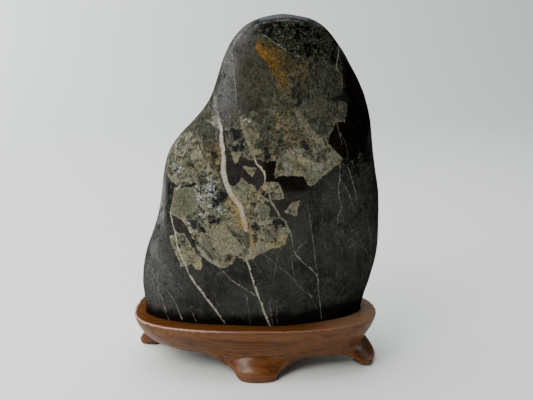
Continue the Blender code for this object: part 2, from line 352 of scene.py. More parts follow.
# layer, half width at the start, middle and end, strength, whiteness, softness, path
veins = (
    (1, 1.0, 1.5, 1.1, 0.55, 0.3, 0.8, (
        (-31.2, 138.3), (-27.4, 135.8), (-24.6, 132.3), (-21.4, 129), (-16.8, 124.5))),
    (0, 0.7, 1.12, 0.95, 1.0, 0.95, 0.25, (
        (-18.2, 126), (-16.8, 124.5), (-15.6, 122.2), (-15.3, 117.7), (-14.8, 114.1), (-14.3, 110.4),
        (-14.6, 106.3), (-14.4, 103), (-13.5, 98.8), (-12.1, 95.5), (-10.7, 92.2), (-8.6, 89.8), (-6.5, 87),
        (-5.6, 82.6), (-4.6, 79.5), (-4.2, 77.3))),
    (1, 0.4, 0.5, 0.25, 0.75, 0.2, 0.8, (
        (-4.4, 77.6), (-2.2, 74.6), (-1.0, 71.6), (-0.9, 66.8), (-1.4, 63.4))),
    (1, 0.2, 0.5, 0.3, 0.4, 0.8, 0.9, ((-27.2, 126.3), (-21.8, 125.2), (-16.6, 122.9))),
    (0, 0.6, 0.9, 0.5, 0.62, 0.28, 0.8, (
        (-5.9, 127.4), (-5, 123.8), (-4, 120.2), (-1.7, 115.2), (0.2, 109.6))),
    (0, 0.28, 0.42, 0.3, 0.95, 0.75, 0.3, (
        (0.2, 109.6), (1.1, 107.3), (2.7, 105.9), (4.4, 103.6), (5.1, 101.2), (5.1, 98.8))),
    (0, 0.42, 0.42, 0.2, 0.8, 0.3, 0.5, (
        (5.1, 98.8), (6.2, 96), (7.2, 92.7), (7.6, 89.5), (9.5, 86.9), (11, 84.5), (11.9, 82), (14.3, 80),
        (16, 76.8))),
    (0, 0.18, 0.28, 0.28, 0.65, 0.4, 0.4, (
        (16, 76.8), (17.2, 74.1), (18.2, 69.1), (18.8, 65.6), (20.1, 62.5), (23.6, 58.8), (26.6, 56.1),
        (30.4, 52.7), (32.2, 48.9), (32.7, 44.1), (33.5, 41.3), (34.7, 34.6), (35.5, 29.1))),
    (1, 0.17, 0.204, 0.136, 0.4, 0.3, 0.5, ((23.9, 69), (21.1, 67), (20.3, 64.8))),
    (0, 0.42, 0.5, 0.36, 0.92, 0.6, 0.35, (
        (-48.4, 80.5), (-46.1, 76.3), (-43.2, 72.2), (-42.1, 69.9), (-40.2, 65.7), (-37.2, 61.7),
        (-34.6, 57.8), (-31.8, 53.4), (-29.1, 49.1), (-25.3, 43.8), (-22.5, 39.4), (-18.5, 33.6),
        (-15.4, 28.6))),
    (0, 0.204, 0.238, 0.17, 0.6, 0.4, 0.4, (
        (-25, 62.7), (-20.4, 59.4), (-17.3, 57.3), (-14.4, 54.3), (-12.5, 51.8), (-8.7, 48.8), (-4.1, 46.3),
        (-0.8, 43.7))),
    (1, 0.17, 0.204, 0.136, 0.5, 0.1, 0.4, ((-17.8, 53.4), (-15.4, 54.4))),
    (1, 0.3, 0.36, 0.48, 0.92, 0.65, 0.35, (
        (-3.8, 60.5), (-2.4, 57), (-1.4, 52.5), (0, 47.9), (1.2, 43.8), (2.9, 40.1), (3.8, 37), (4.3, 34.8),
        (5.8, 31), (7.2, 27))),
    (0, 0.272, 0.34, 0.238, 0.5, 0.15, 0.4, ((7.2, 38.3), (7.9, 33.7), (8.7, 27))),
    (2, 0.136, 0.17, 0.136, 0.5, 0.2, 0.4, ((10.9, 39.5), (10.6, 33.7), (11.2, 26.9))),
    (2, 0.136, 0.17, 0.136, 0.5, 0.2, 0.5, (
        (12, 65.8), (11, 63.1), (10.6, 58.9), (9.6, 55.1), (9.1, 50.9), (8.5, 47.3), (8.2, 40.6))),
    (1, 0.11, 0.16, 0.136, 0.55, 0.2, 0.5, (
        (3.6, 64), (8.2, 60.6), (12.8, 56.3), (17.3, 52.6), (19.8, 49.4), (21.3, 47.2), (23.7, 44.9),
        (27.8, 41.5))),
    (2, 0.102, 0.136, 0.102, 0.25, 0.3, 0.6, ((-0.9, 61), (1, 58), (3.4, 54), (5.1, 50.9))),
    (2, 0.136, 0.17, 0.204, 0.4, 0.4, 0.5, ((-4.9, 45.2), (-3.9, 41.1), (-3, 35.8), (-2.1, 28))),
    (0, 0.15, 0.2, 0.136, 0.75, 0.5, 0.45, (
        (44.6, 106), (44.6, 103.2), (44.3, 99.4), (43.2, 94.2), (43.1, 91), (45.2, 84.8), (43.2, 81),
        (42.4, 72.2))),
    (1, 0.13, 0.17, 0.12, 0.68, 0.5, 0.45, ((51.3, 102.8), (53.3, 97.8), (55, 93.3), (56.3, 87.6))),
    (2, 0.12, 0.16, 0.12, 0.6, 0.5, 0.45, (
        (45.4, 97.6), (48.8, 94.3), (51, 90.2), (52.6, 86.7), (56.6, 82.4))),
    (1, 0.136, 0.136, 0.136, 0.25, 0.4, 0.7, ((34.6, 89.8), (37.1, 91.1), (42.4, 91.8), (47.4, 93.4))),
    (0, 0.12, 0.16, 0.12, 0.5, 0.5, 0.6, ((66.8, 78.4), (68.3, 73.1), (71.4, 66), (73.1, 55.7))),
    (2, 0.14, 0.2, 0.14, 0.5, 0.35, 0.5, (
        (25.2, 86.9), (26.2, 82), (26.8, 76.6), (27.8, 70.1), (29.6, 58.9), (31.7, 52.6))),
    (1, 0.102, 0.17, 0.102, 0.45, 0.6, 0.6, ((40.5, 126.2), (43.1, 120.9), (45.2, 116.5))),
    (2, 0.102, 0.17, 0.102, 0.35, 0.5, 0.6, (
        (44.9, 119.8), (48.6, 115.1), (50.4, 109.5), (49.7, 104.8), (52.8, 100.3), (55, 94.3))),
    (0, 0.12, 0.26, 0.12, 0.9, 0.8, 0.4, (
        (53.4, 161.2), (48.8, 157.8), (44.8, 153.9), (43, 151), (44.9, 149.4))),
    (0, 0.12, 0.2, 0.2, 0.6, 0.6, 0.4, ((-50, 33.5), (-48.3, 27.4))),
    (1, 0.15, 0.34, 0.2, 0.6, 0.6, 0.5, ((-40.6, 35.5), (-39, 30))),
    (2, 0.1, 0.2, 0.15, 0.5, 0.5, 0.5, ((-30.8, 32.5), (-29.6, 28.5))),
    (1, 0.1, 0.15, 0.1, 0.4, 0.6, 0.6, ((46, 145.3), (44.9, 140.3))),
    (2, 0.1, 0.13, 0.1, 0.35, 0.5, 0.6, ((54.1, 73.5), (62.9, 64.5), (72.1, 55.6))),
    (0, 0.1, 0.13, 0.1, 0.3, 0.4, 0.6, ((17.2, 64.9), (18.4, 56.1), (20, 49.5))),
    (2, 0.1, 0.15, 0.12, 0.4, 0.4, 0.5, ((23.2, 45.1), (28.4, 40.4), (32, 34))),
    (2, 0.6, 1.0, 0.6, 0.3, 0.35, 1.0, (
        (19.2, 132.3), (21.5, 126.7), (23.7, 122.5), (27, 117.7), (30.8, 113.5), (35.3, 110.3), (38.3, 108))),
    (1, 0.5, 0.7, 0.4, 0.45, 0.3, 0.9, ((-32.8, 120.4), (-27.4, 116.8), (-24.6, 113), (-21.7, 109.1))),
    (2, 0.6, 0.9, 0.6, 0.4, 0.5, 0.9, ((-44.7, 119), (-38.6, 117.2), (-34.2, 114.7))),
    (0, 0.3, 0.5, 0.3, 0.45, 0.55, 0.8, ((-28.4, 114.5), (-26.4, 111.7), (-24.4, 109.6))),
    (1, 0.5, 0.8, 0.5, 0.25, 0.6, 1.0, ((-16, 162.5), (-11.8, 165.6), (-7.8, 168.1))),
    # a painted highlight: the pale line along the top edge
    (2, 0.1, 0.15, 0.1, 0.35, 0.6, 0.6, ((-4.4, 168.1), (3.6, 171.4), (14.4, 172), (23.8, 171.6))),
    (1, 0.136, 0.17, 0.136, 0.4, 0.4, 0.6, ((-56.6, 57.2), (-51.3, 54.9), (-44.8, 51.1))),
    (0, 0.102, 0.17, 0.204, 0.5, 0.7, 0.5, (
        (-56, 47.1), (-54.6, 42), (-52, 37), (-50.5, 31.1), (-48.1, 26.9))),
    (1, 0.102, 0.136, 0.34, 0.6, 0.8, 0.4, ((-47.8, 42.9), (-42.9, 38.8), (-40.3, 33.6), (-38.5, 29.2))),
    (2, 0.102, 0.136, 0.102, 0.35, 0.5, 0.6, ((-41.5, 49.4), (-37, 45.3))),
    (2, 0.102, 0.204, 0.136, 0.4, 0.8, 0.7, (
        (-21.9, 159.9), (-15.5, 156.9), (-13.3, 152.9), (-12.6, 148.3), (-10.7, 141), (-9.9, 136.5),
        (-9.3, 132.8))),
    (1, 0.12, 0.2, 0.08, 0.62, 0.3, 0.6, (
        (3.2, 165.7), (4.6, 166), (6.4, 164.8), (9.6, 162.6), (12.4, 160.8), (15.2, 159), (17.9, 157.7),
        (21.1, 156.3))),
)

backVeins = (
    (0, 0.3, 0.7, 0.4, 0.9, 0.85, 0.3, (
        (6, 150), (3, 138), (4, 126), (-1, 114), (-3, 102), (-9, 90), (-12, 78), (-20, 66), (-24, 52),
        (-33, 40), (-37, 28))),
    (1, 0.25, 0.5, 0.3, 0.6, 0.5, 0.4, (
        (38, 128), (30, 116), (27, 104), (18, 92), (14, 80), (16, 66), (10, 52), (12, 38), (8, 28))),
    (2, 0.2, 0.35, 0.2, 0.5, 0.4, 0.4, (
        (-44, 92), (-30, 82), (-16, 74), (0, 60), (18, 50), (34, 42), (50, 40))),
    (1, 0.2, 0.3, 0.2, 0.45, 0.5, 0.5, ((-50, 74), (-47, 62), (-40, 50), (-42, 38), (-38, 29))),
    (2, 0.15, 0.25, 0.15, 0.4, 0.4, 0.5, ((52, 96), (46, 84), (48, 70), (42, 58), (44, 44), (40, 32))),
    (0, 0.15, 0.3, 0.15, 0.4, 0.6, 0.5, ((22, 158), (28, 146), (40, 136), (46, 122), (48, 108))),
    (0, 0.15, 0.25, 0.15, 0.35, 0.3, 0.5, ((20, 84), (30, 76), (33, 62), (28, 46), (30, 30))),
)

# outlines with ragged edges: stones in the patches, the stain, blots, black ground and white flecks
shapes = {
    "green": (
        (
            (-46.7, 90.9), (-43.2, 94), (-37.1, 95.7), (-32.6, 95.3), (-29, 93.9), (-27.4, 91.1),
            (-27.7, 87.7), (-29.7, 84.7), (-32.5, 82.5), (-36.3, 80.7), (-40.3, 79.4), (-44.9, 80.4),
            (-48.5, 81.7), (-48.1, 85.9),
        ),
        ((14.3, 128.4), (17.1, 129.1), (19.7, 128.1), (19.9, 126.3), (18.1, 125.1), (14.8, 125.6)),
        ((1.7, 87.9), (5.5, 88.9), (7.4, 86.4), (6.5, 82.6), (4.1, 80.7), (2.2, 83.6)),
        ((5, 75.6), (8.4, 76.4), (11.6, 74.6), (11.3, 71.2), (6.8, 70.6), (4.3, 72.8)),
        ((-25, 71), (-21.5, 73), (-19.8, 69.5), (-19.6, 65), (-17, 61.5), (-20, 60.5), (-24, 64.5)),
        ((-41, 105), (-36, 108.5), (-30.5, 107.5), (-31, 102), (-36, 99)),
        ((24, 136), (31, 138.5), (34, 132), (30, 127), (24.5, 130)),
        ((-5.4, 75.3), (-2.6, 74.8), (-1.6, 70.9), (-2.6, 67.5), (-5, 69.4)),
    ),
    "cream": (
        (
            (-15.3, 78.8), (-13, 77.2), (-11.1, 74.8), (-8.7, 71.9), (-6.6, 69.2), (-5.9, 66), (-7.4, 63),
            (-10.3, 62.9), (-11.2, 64.7), (-13.1, 63.6), (-15.5, 63.8), (-17.9, 65.2), (-19.5, 68.7),
            (-20, 72.1), (-19, 75.6), (-17.3, 78.1),
        ),
        ((-11.3, 113), (-6.4, 112.8), (-6.2, 111.4), (-7.6, 108.7), (-8.7, 106.8), (-9.9, 109.6)),
        (
            (-7.1, 127.9), (-2.4, 127.5), (-3.6, 125.7), (-3.2, 122.9), (-2.4, 119.3), (-3.3, 118.4),
            (-4.7, 121.5), (-5.9, 124.7),
        ),
        ((-32.9, 112), (-29.1, 113.8), (-26, 112.8), (-24.1, 109.2), (-27.8, 108.1), (-31.7, 108.3)),
        (
            (19.4, 133.2), (21.7, 131.4), (24.1, 127.1), (27.9, 122.4), (32.4, 117.5), (35.8, 114.1),
            (33.3, 113.2), (28.5, 117.6), (24.6, 122), (21.3, 126.3), (19.4, 130),
        ),
    ),
    "stain": (
        (
            (1, 164.9), (4.5, 164.9), (7.6, 163.1), (11.5, 160.8), (13.8, 159.3), (16.5, 157.7),
            (17.9, 154.1), (17, 149.6), (15.9, 146), (15, 141), (13, 141.5), (11.5, 146), (8.4, 149.4),
            (6.4, 153.2), (3.7, 155.9), (1.8, 157.7), (1, 161.1),
        ),
    ),
    "dark": (
        (
            (-17.6, 93), (-15.2, 93.6), (-12.4, 92.7), (-12.8, 90.7), (-15.2, 88.3), (-17.6, 87.3),
            (-19.3, 88.6), (-18.5, 91.1),
        ),
        (
            (-32.6, 78.6), (-29.8, 80.3), (-26.9, 80.5), (-26.9, 77.6), (-28.5, 75.5), (-31.9, 76.2),
            (-34, 77),
        ),
        ((-27.9, 76), (-25.9, 77.1), (-24, 75.8), (-24.5, 73.8), (-26.5, 74.2)),
        ((-22, 80.8), (-20.1, 82.8), (-17.7, 81.5), (-18.7, 79), (-21.6, 78.9)),
        ((-1.6, 77.8), (0.3, 79.2), (1.7, 78.3), (2.9, 76.3), (0.8, 74.8), (-0.9, 76.3)),
        ((-0.9, 73.4), (0.8, 73.9), (1.2, 72.4), (2.4, 70.7), (0.3, 69.9), (-0.7, 71.4)),
        ((-12.7, 62.9), (-11.2, 63.9), (-10.8, 61.4), (-12.2, 60.9)),
        ((-26.1, 99.3), (-22.7, 100.4), (-21.3, 98.6), (-23.7, 96.1), (-25.6, 96.9)),
        ((-29.8, 70), (-27.5, 70.7), (-26.1, 68.8), (-27.6, 67.2), (-29.8, 68)),
        ((-10.4, 122.4), (-8.5, 122.9), (-6.6, 121.5), (-7.1, 119.2), (-8.9, 119.2)),
        ((-9.4, 115.6), (-7.5, 116.3), (-6.4, 114.7), (-8.5, 113.5)),
        ((35.3, 136.6), (44.1, 136.3), (48.5, 136.6), (48.1, 139.2), (41.8, 138.4), (37.6, 137.4)),
        ((21.6, 117.4), (23, 116.9), (25.7, 114.7), (26.9, 113.2), (24.2, 113.5), (22.6, 115.2)),
        ((28.9, 107.9), (29.7, 109.8), (31.8, 110.6), (31.3, 108.6), (30.2, 107.3)),
        ((4.8, 114.7), (6, 115), (6.7, 112.4), (6.9, 109.4), (5.3, 108.9), (5.3, 111.9)),
        ((-20.5, 112.5), (-18.4, 113.1), (-16.8, 110.8), (-17.4, 109), (-19.6, 109.8)),
        ((7.6, 81.1), (11.7, 81.3), (14.5, 79.8), (15.2, 77.3), (11.7, 77.2), (8.8, 79.2)),
        ((-35.7, 107.2), (-32, 107.8), (-29.6, 106.3), (-32.4, 105), (-35.4, 105.3)),
    ),
    "void": (
        (
            (4, 110), (11, 111), (13, 103), (23, 103), (29, 97), (22.4, 93.6), (13.7, 94.4), (5.5, 98.6),
            (4, 103.7),
        ),
        (
            (37, 127), (47, 127), (49.5, 137), (48, 148), (54, 153), (64, 150), (78, 140), (80, 126),
            (68, 117), (56, 111), (47, 108), (35, 116),
        ),
    ),
    "frost": (
        (
            (-48.1, 105.8), (-44.4, 105.6), (-42.7, 104.3), (-38.5, 103.8), (-40.1, 102.8), (-44.9, 103),
            (-47.1, 104.4),
        ),
        ((-28.3, 93.6), (-26.2, 92.8), (-25, 91), (-25.2, 88.4), (-26.2, 88.7), (-27, 91.1)),
        (
            (-24.2, 96.5), (-22.3, 97.1), (-20.4, 95.8), (-18, 95.6), (-17.3, 94), (-19.4, 94.1),
            (-21.8, 94.3), (-23.7, 95.1),
        ),
    ),
}

backShapes = {
    "green": (((-32, 92), (-24, 97), (-16, 94), (-15, 86), (-22, 82), (-30, 85)),),
    "cream": (
        ((18, 150), (26, 146), (31, 138), (24, 134), (16, 140)),
        ((-6, 92), (2, 94), (5, 86), (-1, 81), (-8, 84)),
    ),
    "stain": (((0, 158), (8, 160), (12, 150), (8, 139), (2, 132), (-3, 140), (-3, 150)),),
    "dark": (
        ((-12, 98), (-8, 100), (-6, 96), (-10, 94)),
        ((28, 130), (32, 132), (33, 127), (29, 126)),
        ((-30, 76), (-26, 79), (-24, 75), (-28, 72)),
    ),
    "frost": (((-20, 79), (-14, 81), (-12, 76), (-18, 74)),),
}

# cracks and threads: half width, path
strokes = {
    "dark": (
        # the first is a dark line along the top edge, just under the painted reflection
        (0.22, ((-9, 166.6), (-4.4, 168.9), (3.6, 172.2), (14.4, 172.9), (23.8, 172.4), (30, 169.9))),
        (0.55, ((19.8, 144.6), (20.2, 143.5))),
        (0.65, (
            (17.5, 142.4), (18.9, 141.5), (18, 139.6), (18.9, 137.8), (20.7, 138.3), (21.2, 140.5),
            (22.6, 141.4))),
        (0.6, ((20.7, 138.3), (21.2, 136.4), (20.3, 134.6), (18, 133.7))),
        (0.4, ((-13.2, 77.4), (-11.1, 75.3), (-8.7, 72.6), (-6.1, 69.4))),
        (0.25, ((-19.6, 66.4), (-17.9, 63.7), (-15.7, 59.8))),
        (0.3, ((-16.5, 60.1), (-14.1, 60.6), (-11.7, 60.7))),
        (0.3, ((-9.8, 62.7), (-8.3, 62.2), (-7.1, 62.7))),
        (0.35, ((9.7, 111.9), (10.2, 114), (11.6, 115.5), (13.7, 116.1))),
        (0.3, ((17.7, 134.1), (19.4, 133.7), (21.1, 135.1), (21.7, 137.3))),
        (0.3, ((12.3, 122.1), (13, 120.8), (12, 118.2))),
        (0.25, ((33.3, 113.2), (35.9, 110.7), (39.4, 106.8))),
        (0.25, ((30.9, 111.7), (32.8, 110.4), (34.9, 108.9))),
        (0.45, ((34.8, 136.8), (39.7, 136.7), (46.2, 136.6))),
        (0.25, ((-29.4, 107.8), (-26.1, 108.5))),
        (0.25, ((-45.3, 94.7), (-40.6, 96.1), (-37.2, 97.1), (-33.4, 96.7), (-29.8, 96), (-26.7, 94.5))),
        (0.3, ((-12.8, 94.5), (-10.9, 92.2), (-8.6, 87.9))),
        (0.35, ((2.7, 96.5), (3.6, 94.6), (4.6, 91.3), (5.5, 88.9))),
        (0.3, ((-23.1, 110.1), (-21.2, 108.4), (-19.8, 106.1))),
        (0.3, ((29.3, 128.6), (28.3, 127.5))),
        (0.25, ((4.6, 77.5), (6.5, 75.3), (8.4, 72.3), (11.2, 69.3))),
        (0.25, ((10.3, 77.4), (10.7, 74.2))),
        (0.22, ((-4, 74.3), (-3, 70.9), (-3.1, 67.5))),
        (0.3, ((-18.9, 107.5), (-17, 103.9), (-15.1, 100.6))),
        (0.3, ((-26.3, 86.8), (-23.9, 84.1), (-22.5, 81.3))),
        (0.3, ((-34, 73.6), (-29.8, 72), (-26.1, 68.8), (-22.7, 64.6), (-19.4, 61.2))),
    ),
    "frost": (
        (0.28, ((-27.7, 95.8), (-25.2, 94.6), (-22.8, 94.7), (-21.4, 92.9), (-22.8, 90.9), (-24.8, 91.3))),
        (0.25, ((-21.4, 92.9), (-19.5, 92), (-18.1, 90.6))),
        (0.22, ((-24.3, 88.4), (-22.4, 87.1), (-20.5, 87.6))),
        (0.15, ((-26.3, 83), (-24.4, 82.1), (-22.9, 83.2))),
        (0.2, ((-33.2, 78.6), (-31.2, 76.8), (-31.9, 74.3))),
        (0.25, ((-22.7, 100.4), (-20.8, 99.1), (-19.9, 96.7))),
        (0.22, ((-40.6, 95.4), (-43.2, 93.2))),
        (0.1, ((-18.6, 85.6), (-15.7, 86.1), (-13.4, 85.4), (-14.3, 84), (-16.7, 84.2))),
        (0.15, ((-4.5, 127.4), (-2.4, 127.2))),
    ),
}

# soft tints that have no edge: across, up, reach across, reach up, amount
tints = {
    "fade": ((0, 132, 11, 6, 1), (9, 139, 5, 7, 1), (34, 158, 18, 5, 1), (-12, 127, 4, 4, 1)),
    "umbra": (
        (-37.5, 88.2, 3.6, 3.4, 0.9), (-9, 121, 3, 6, 0.4), (-21.5, 121, 4.6, 6, 1.1),
        (-30, 125, 5, 5, 0.5), (6.5, 113, 2, 5, 0.4), (-3, 71, 2, 5, 0.4), (18, 118, 4, 3, 0.3),
        (31, 130, 9, 7, 0.45), (-20, 93, 4, 4, 0.4),
    ),
    # painted reflection along the top edge
    "crest": (
        (-9.9, 169.6, 6, 0.9, 0.6), (3.7, 173.1, 6, 0.7, 0.9), (14.4, 173.8, 7, 0.7, 0.9),
        (25, 173.3, 6, 0.7, 0.8), (37.6, 170.8, 5, 0.9, 0.5),
    ),
    "rust": (
        (3.5, 104.5, 1.6, 3.6, 0.4), (6.1, 141.5, 6, 2.2, 0.25), (-16.5, 112.7, 1.2, 3.3, 0.5),
        (-17.9, 108.5, 1.9, 2.3, 0.35), (-13.2, 105.5, 0.8, 3.5, 0.5), (-10.6, 88.9, 2.0, 3.2, 1),
        (-8.2, 85, 1.4, 3, 1), (-7.2, 81.2, 2.1, 2.6, 1), (-4.4, 77.4, 2.2, 1.8, 1),
        (-1.2, 74.4, 1.2, 3.4, 0.8), (-0.8, 69.2, 1.4, 3, 0.7), (13.1, 70.7, 2.3, 2.5, 0.5),
        (7.4, 66.9, 2.8, 1.5, 0.35), (-26.7, 58.4, 1.5, 2, 0.5), (12, 127.2, 1.9, 2.8, 0.45),
        (15.8, 120.7, 2.8, 3.7, 0.3), (-20.8, 113.4, 2.5, 2.2, 0.3), (-12.4, 90.3, 1.9, 2, 0.7),
        (6.1, 145, 4.6, 2.3, 0.3), (1.6, 160.5, 1.4, 2.0, 1.5), (3.8, 157.3, 1.5, 1.8, 1.3),
        (6, 154.2, 1.6, 1.8, 1.0), (8.8, 151.2, 1.8, 2, 0.9), (11.4, 148.2, 1.7, 2.2, 0.85),
        (13.2, 145, 1.6, 2.4, 0.5), (9.6, 155.8, 2.4, 2.2, 0.75), (7.0, 158.8, 2, 1.8, 0.6),
        (-69.1, 46.2, 0.9, 2.4, 0.6), (-69.8, 54.7, 0.9, 1.2, 0.5),
    ),
    "buff": (
        (-19.6, 109, 3.4, 6.5, 0.8), (22, 151, 3.6, 5.5, 0.9), (18, 141, 3, 4, 0.5),
        (-29, 110.8, 4.9, 2.8, 0.7), (-8.5, 110, 2.3, 3, 0.8), (-15.4, 70.8, 5.5, 8, 0.4),
        (0.3, 88.9, 6.5, 4.7, 0.6), (3.6, 95.1, 4.7, 4.7, 0.5), (21.5, 106.6, 10.3, 5.6, 0.6),
        (18.9, 130.9, 3.9, 3.7, 0.5), (3.7, 113.8, 3.7, 4.7, 0.4), (-1.9, 118.4, 3.7, 5.6, 0.4),
        (-5.2, 124.3, 1.9, 3.7, 0.6), (9.8, 69.3, 4.7, 3, 0.7), (-27.7, 59.3, 2.8, 3, 0.7),
        (-40, 112.4, 4.7, 3.7, 0.3), (23.7, 120.6, 4.7, 4.7, 0.3), (-37.4, 64.5, 5.9, 4, 0.4),
        (-11.7, 59.9, 4.7, 2, 0.5), (19.3, 152.3, 3.3, 4.2, 0.5),
    ),
    "speck": (
        (-24.2, 99.4, 3.7, 3.3, 1), (-15.2, 90.2, 4.2, 3.7, 1), (-29.8, 78.3, 5.3, 3, 0.9),
        (-26, 75.2, 3, 3, 0.8), (-20.1, 80.9, 3.3, 3.3, 0.9), (-22.3, 91.9, 4.5, 3.7, 0.8),
        (-30.4, 68.5, 5.7, 3.3, 0.7), (0.8, 76.8, 2.3, 2.8, 0.8), (0.8, 71.9, 2.5, 2.3, 0.8),
        (4.6, 80.7, 5.6, 4, 0.4), (-8.5, 119.2, 3.3, 4.2, 0.8), (-7.6, 114.7, 3, 2.6, 0.8),
        (19.3, 140, 3, 4.5, 0.45), (29.6, 139, 3.7, 2.8, 0.4), (-36.4, 106.6, 7.5, 2.8, 0.5),
        (-19.8, 112.6, 1.8, 1.8, 0.6), (-46, 109.6, 6.8, 3.5, 0.6), (-28.3, 117.7, 7.3, 5.2, 0.3),
        (6.4, 112.9, 2.2, 3.7, 0.7), (12.5, 119.4, 2.3, 4.2, 0.6), (23.8, 115.4, 4, 2.5, 0.7),
        (7.4, 90.3, 5.6, 5, 0.5), (-2, 92.7, 4.7, 3.7, 0.5), (11.2, 79.6, 4.2, 2.3, 0.9),
        (-10.3, 62.4, 4.5, 2, 0.7),
    ),
    "plain": (
        (-37, 87.5, 7.7, 6.1, 1), (-14.5, 70.3, 5.1, 7.5, 1), (21.5, 105.2, 9.3, 6, 0.7),
        (36.9, 124.9, 6.7, 5.6, 0.6), (43.4, 131.6, 5.9, 3.7, 0.6), (17.1, 127.2, 2.8, 1.9, 0.8),
    ),
    # near-black ground at the top; the blobs down the right flank add painted shade
    "night": (
        (-28.6, 151, 1.6, 7, 0.8), (-31.8, 139, 1.6, 6, 0.6), (-50.6, 90, 1.3, 6, 0.7),
        (-50.6, 80.2, 1.3, 7, 0.7), (-47.4, 72.4, 1.5, 6, 0.7), (16.6, 167.5, 12.1, 5.1, 1),
        (35.2, 162.9, 12.1, 6.1, 1), (41.5, 153.7, 6.9, 5.6, 0.8), (51.7, 136, 6.5, 14, 1),
        (52, 117.1, 6.9, 10.3, 1), (64, 110, 9, 9, 0.7), (6.4, 169.3, 4.3, 2.8, 0.4),
        (23.5, 159.4, 6.5, 3, 0.8),
    ),
    "dusk": (
        (0.4, 139, 8.4, 10.3, 0.8), (7.4, 134.5, 7, 5.6, 1), (3.7, 146.8, 6.5, 4.7, 0.6),
        (-3.3, 155.8, 5.3, 6.1, 0.7),
    ),
    # painted sheen on the left flank, the shoulder and the top left
    "haze": (
        (-63, 88, 5, 13, 1), (-64, 64.7, 6, 11, 0.5), (-57, 43, 11, 9, 0.5), (-19.1, 147.6, 10, 13.9, 1),
        (-16.2, 161.4, 14.4, 6.5, 0.6), (-2.9, 168.4, 10.4, 2.6, 0.6), (-24.4, 127.8, 6.4, 3.5, 0.6),
        (-8.4, 134.2, 4.8, 6.5, 0.4), (-60.8, 66.5, 9.6, 18.7, 0.36),
    ),
    "scratch": (
        (46.7, 76.3, 11.7, 12.5, 0.25), (35.4, 78.1, 5, 1.5, 0.8), (48.1, 72.4, 4, 4, 0.7),
        (54.7, 65.4, 3, 6, 0.6), (35.4, 67.4, 3, 3, 0.5), (51.9, 68.9, 5, 5, 0.4),
        (38.1, 86.7, 8, 4.7, 0.3), (48.5, 98.2, 5.9, 10, 0.3),
    ),
    "mauve": (
        (-4.3, 104.5, 9.3, 6.5, 1), (14.5, 87.7, 5.6, 6, 0.8), (-20.2, 45.4, 15, 8.5, 0.25),
        (-39.4, 75.1, 6.4, 4, 1), (47.3, 126.8, 6.4, 9.3, 0.5),
    ),
}

backTints = {
    "rust": (
        (3, 152, 3, 6, 1.2), (6, 144, 4, 5, 0.5), (-5, 99, 2, 4, 0.7), (-10, 88, 2, 3, 0.7),
        (30, 62, 3, 3, 0.5),
    ),
    "buff": ((20, 142, 8, 8, 0.6), (-4, 88, 8, 8, 0.6), (-30, 74, 6, 6, 0.5), (30, 60, 5, 4, 0.5)),
    "speck": ((-14, 90, 6, 5, 0.8), (30, 130, 5, 5, 0.8), (-22, 74, 6, 5, 0.8)),
    "plain": ((-24, 90, 7, 6, 0.8),),
    "umbra": ((-23, 90, 4, 4, 0.5), (14, 132, 5, 5, 0.4)),
    "fade": ((8, 124, 12, 7, 0.8), (30, 150, 10, 6, 0.8)),
    # near-black at the top, and painted shade down the right flank
    "night": ((8, 168, 20, 5, 0.9), (44, 150, 8, 12, 0.8), (50, 110, 10, 26, 0.7)),
    # painted sheen on the back
    "haze": ((-40, 110, 10, 16, 0.6), (-50, 60, 10, 16, 0.5), (40, 50, 12, 12, 0.4), (0, 60, 16, 12, 0.3)),
    "scratch": ((40, 90, 10, 12, 0.6), (-20, 48, 12, 8, 0.5)),
    "mauve": ((-6, 112, 14, 8, 0.8), (16, 74, 10, 8, 0.7)),
}

# how deep the broad faces reach at each height; a place beyond that lies on the flank
flankHeights = (15, 21, 27, 35, 46, 58, 72, 98, 124, 150, 160, 167, 172, 175)
flankDepths = (15.5, 22.8, 24.8, 26.2, 27.4, 28.0, 27.8, 26.8, 25.0, 22.8, 21.2, 19.2, 15.8, 11.0)
flankRound = 3.0
farAway = 50.0
veinLayers = 3


def onPolygon(places, outline):
    # signed distance, positive inside
    corners = np.array(outline, float)
    nearest = np.full(len(places), np.inf)
    inside = np.zeros(len(places), bool)
    for start, end in zip(corners, np.roll(corners, -1, axis=0)):
        side = end - start
        part = np.clip((places - start) @ side / (side @ side), 0, 1)
        nearest = np.minimum(nearest, np.hypot(*(places - start - part[:, None] * side).T))
        rises = (start[1] > places[:, 1]) != (end[1] > places[:, 1])
        if start[1] != end[1]:
            crossing = start[0] + (places[:, 1] - start[1]) / (end[1] - start[1]) * side[0]
            inside ^= rises & (places[:, 0] < crossing)
    return np.where(inside, nearest, -nearest)


def onPath(places, path, widths):
    # signed distance to the nearest stretch, plain distance, and half width there
    path = np.array(path, float)
    lengths = np.hypot(*np.diff(path, axis=0).T)
    runs = np.concatenate(([0], np.cumsum(lengths))) / lengths.sum()
    best = np.full(len(places), np.inf)
    side = np.zeros(len(places))
    half = np.zeros(len(places))
    for index, (start, end) in enumerate(zip(path, path[1:])):
        along = (end - start) / lengths[index]
        offset = places - start
        part = np.clip(offset @ along / lengths[index], 0, 1)
        apart = np.hypot(*(offset - part[:, None] * (end - start)).T)
        closer = apart < best
        best = np.where(closer, apart, best)
        side = np.where(closer, offset[:, 0] * along[1] - offset[:, 1] * along[0], side)
        run = runs[index] + part * (runs[index + 1] - runs[index])
        half = np.where(closer, np.interp(run, (0, 0.5, 1), widths), half)
    return side, best, half


def outlineField(places, front, frontOutlines, backOutlines):
    field = np.full(len(places), -farAway)
    for mask, outlines in ((front, frontOutlines), (~front, backOutlines)):
        for outline in outlines:
            field[mask] = np.maximum(field[mask], onPolygon(places[mask], outline))
    return field


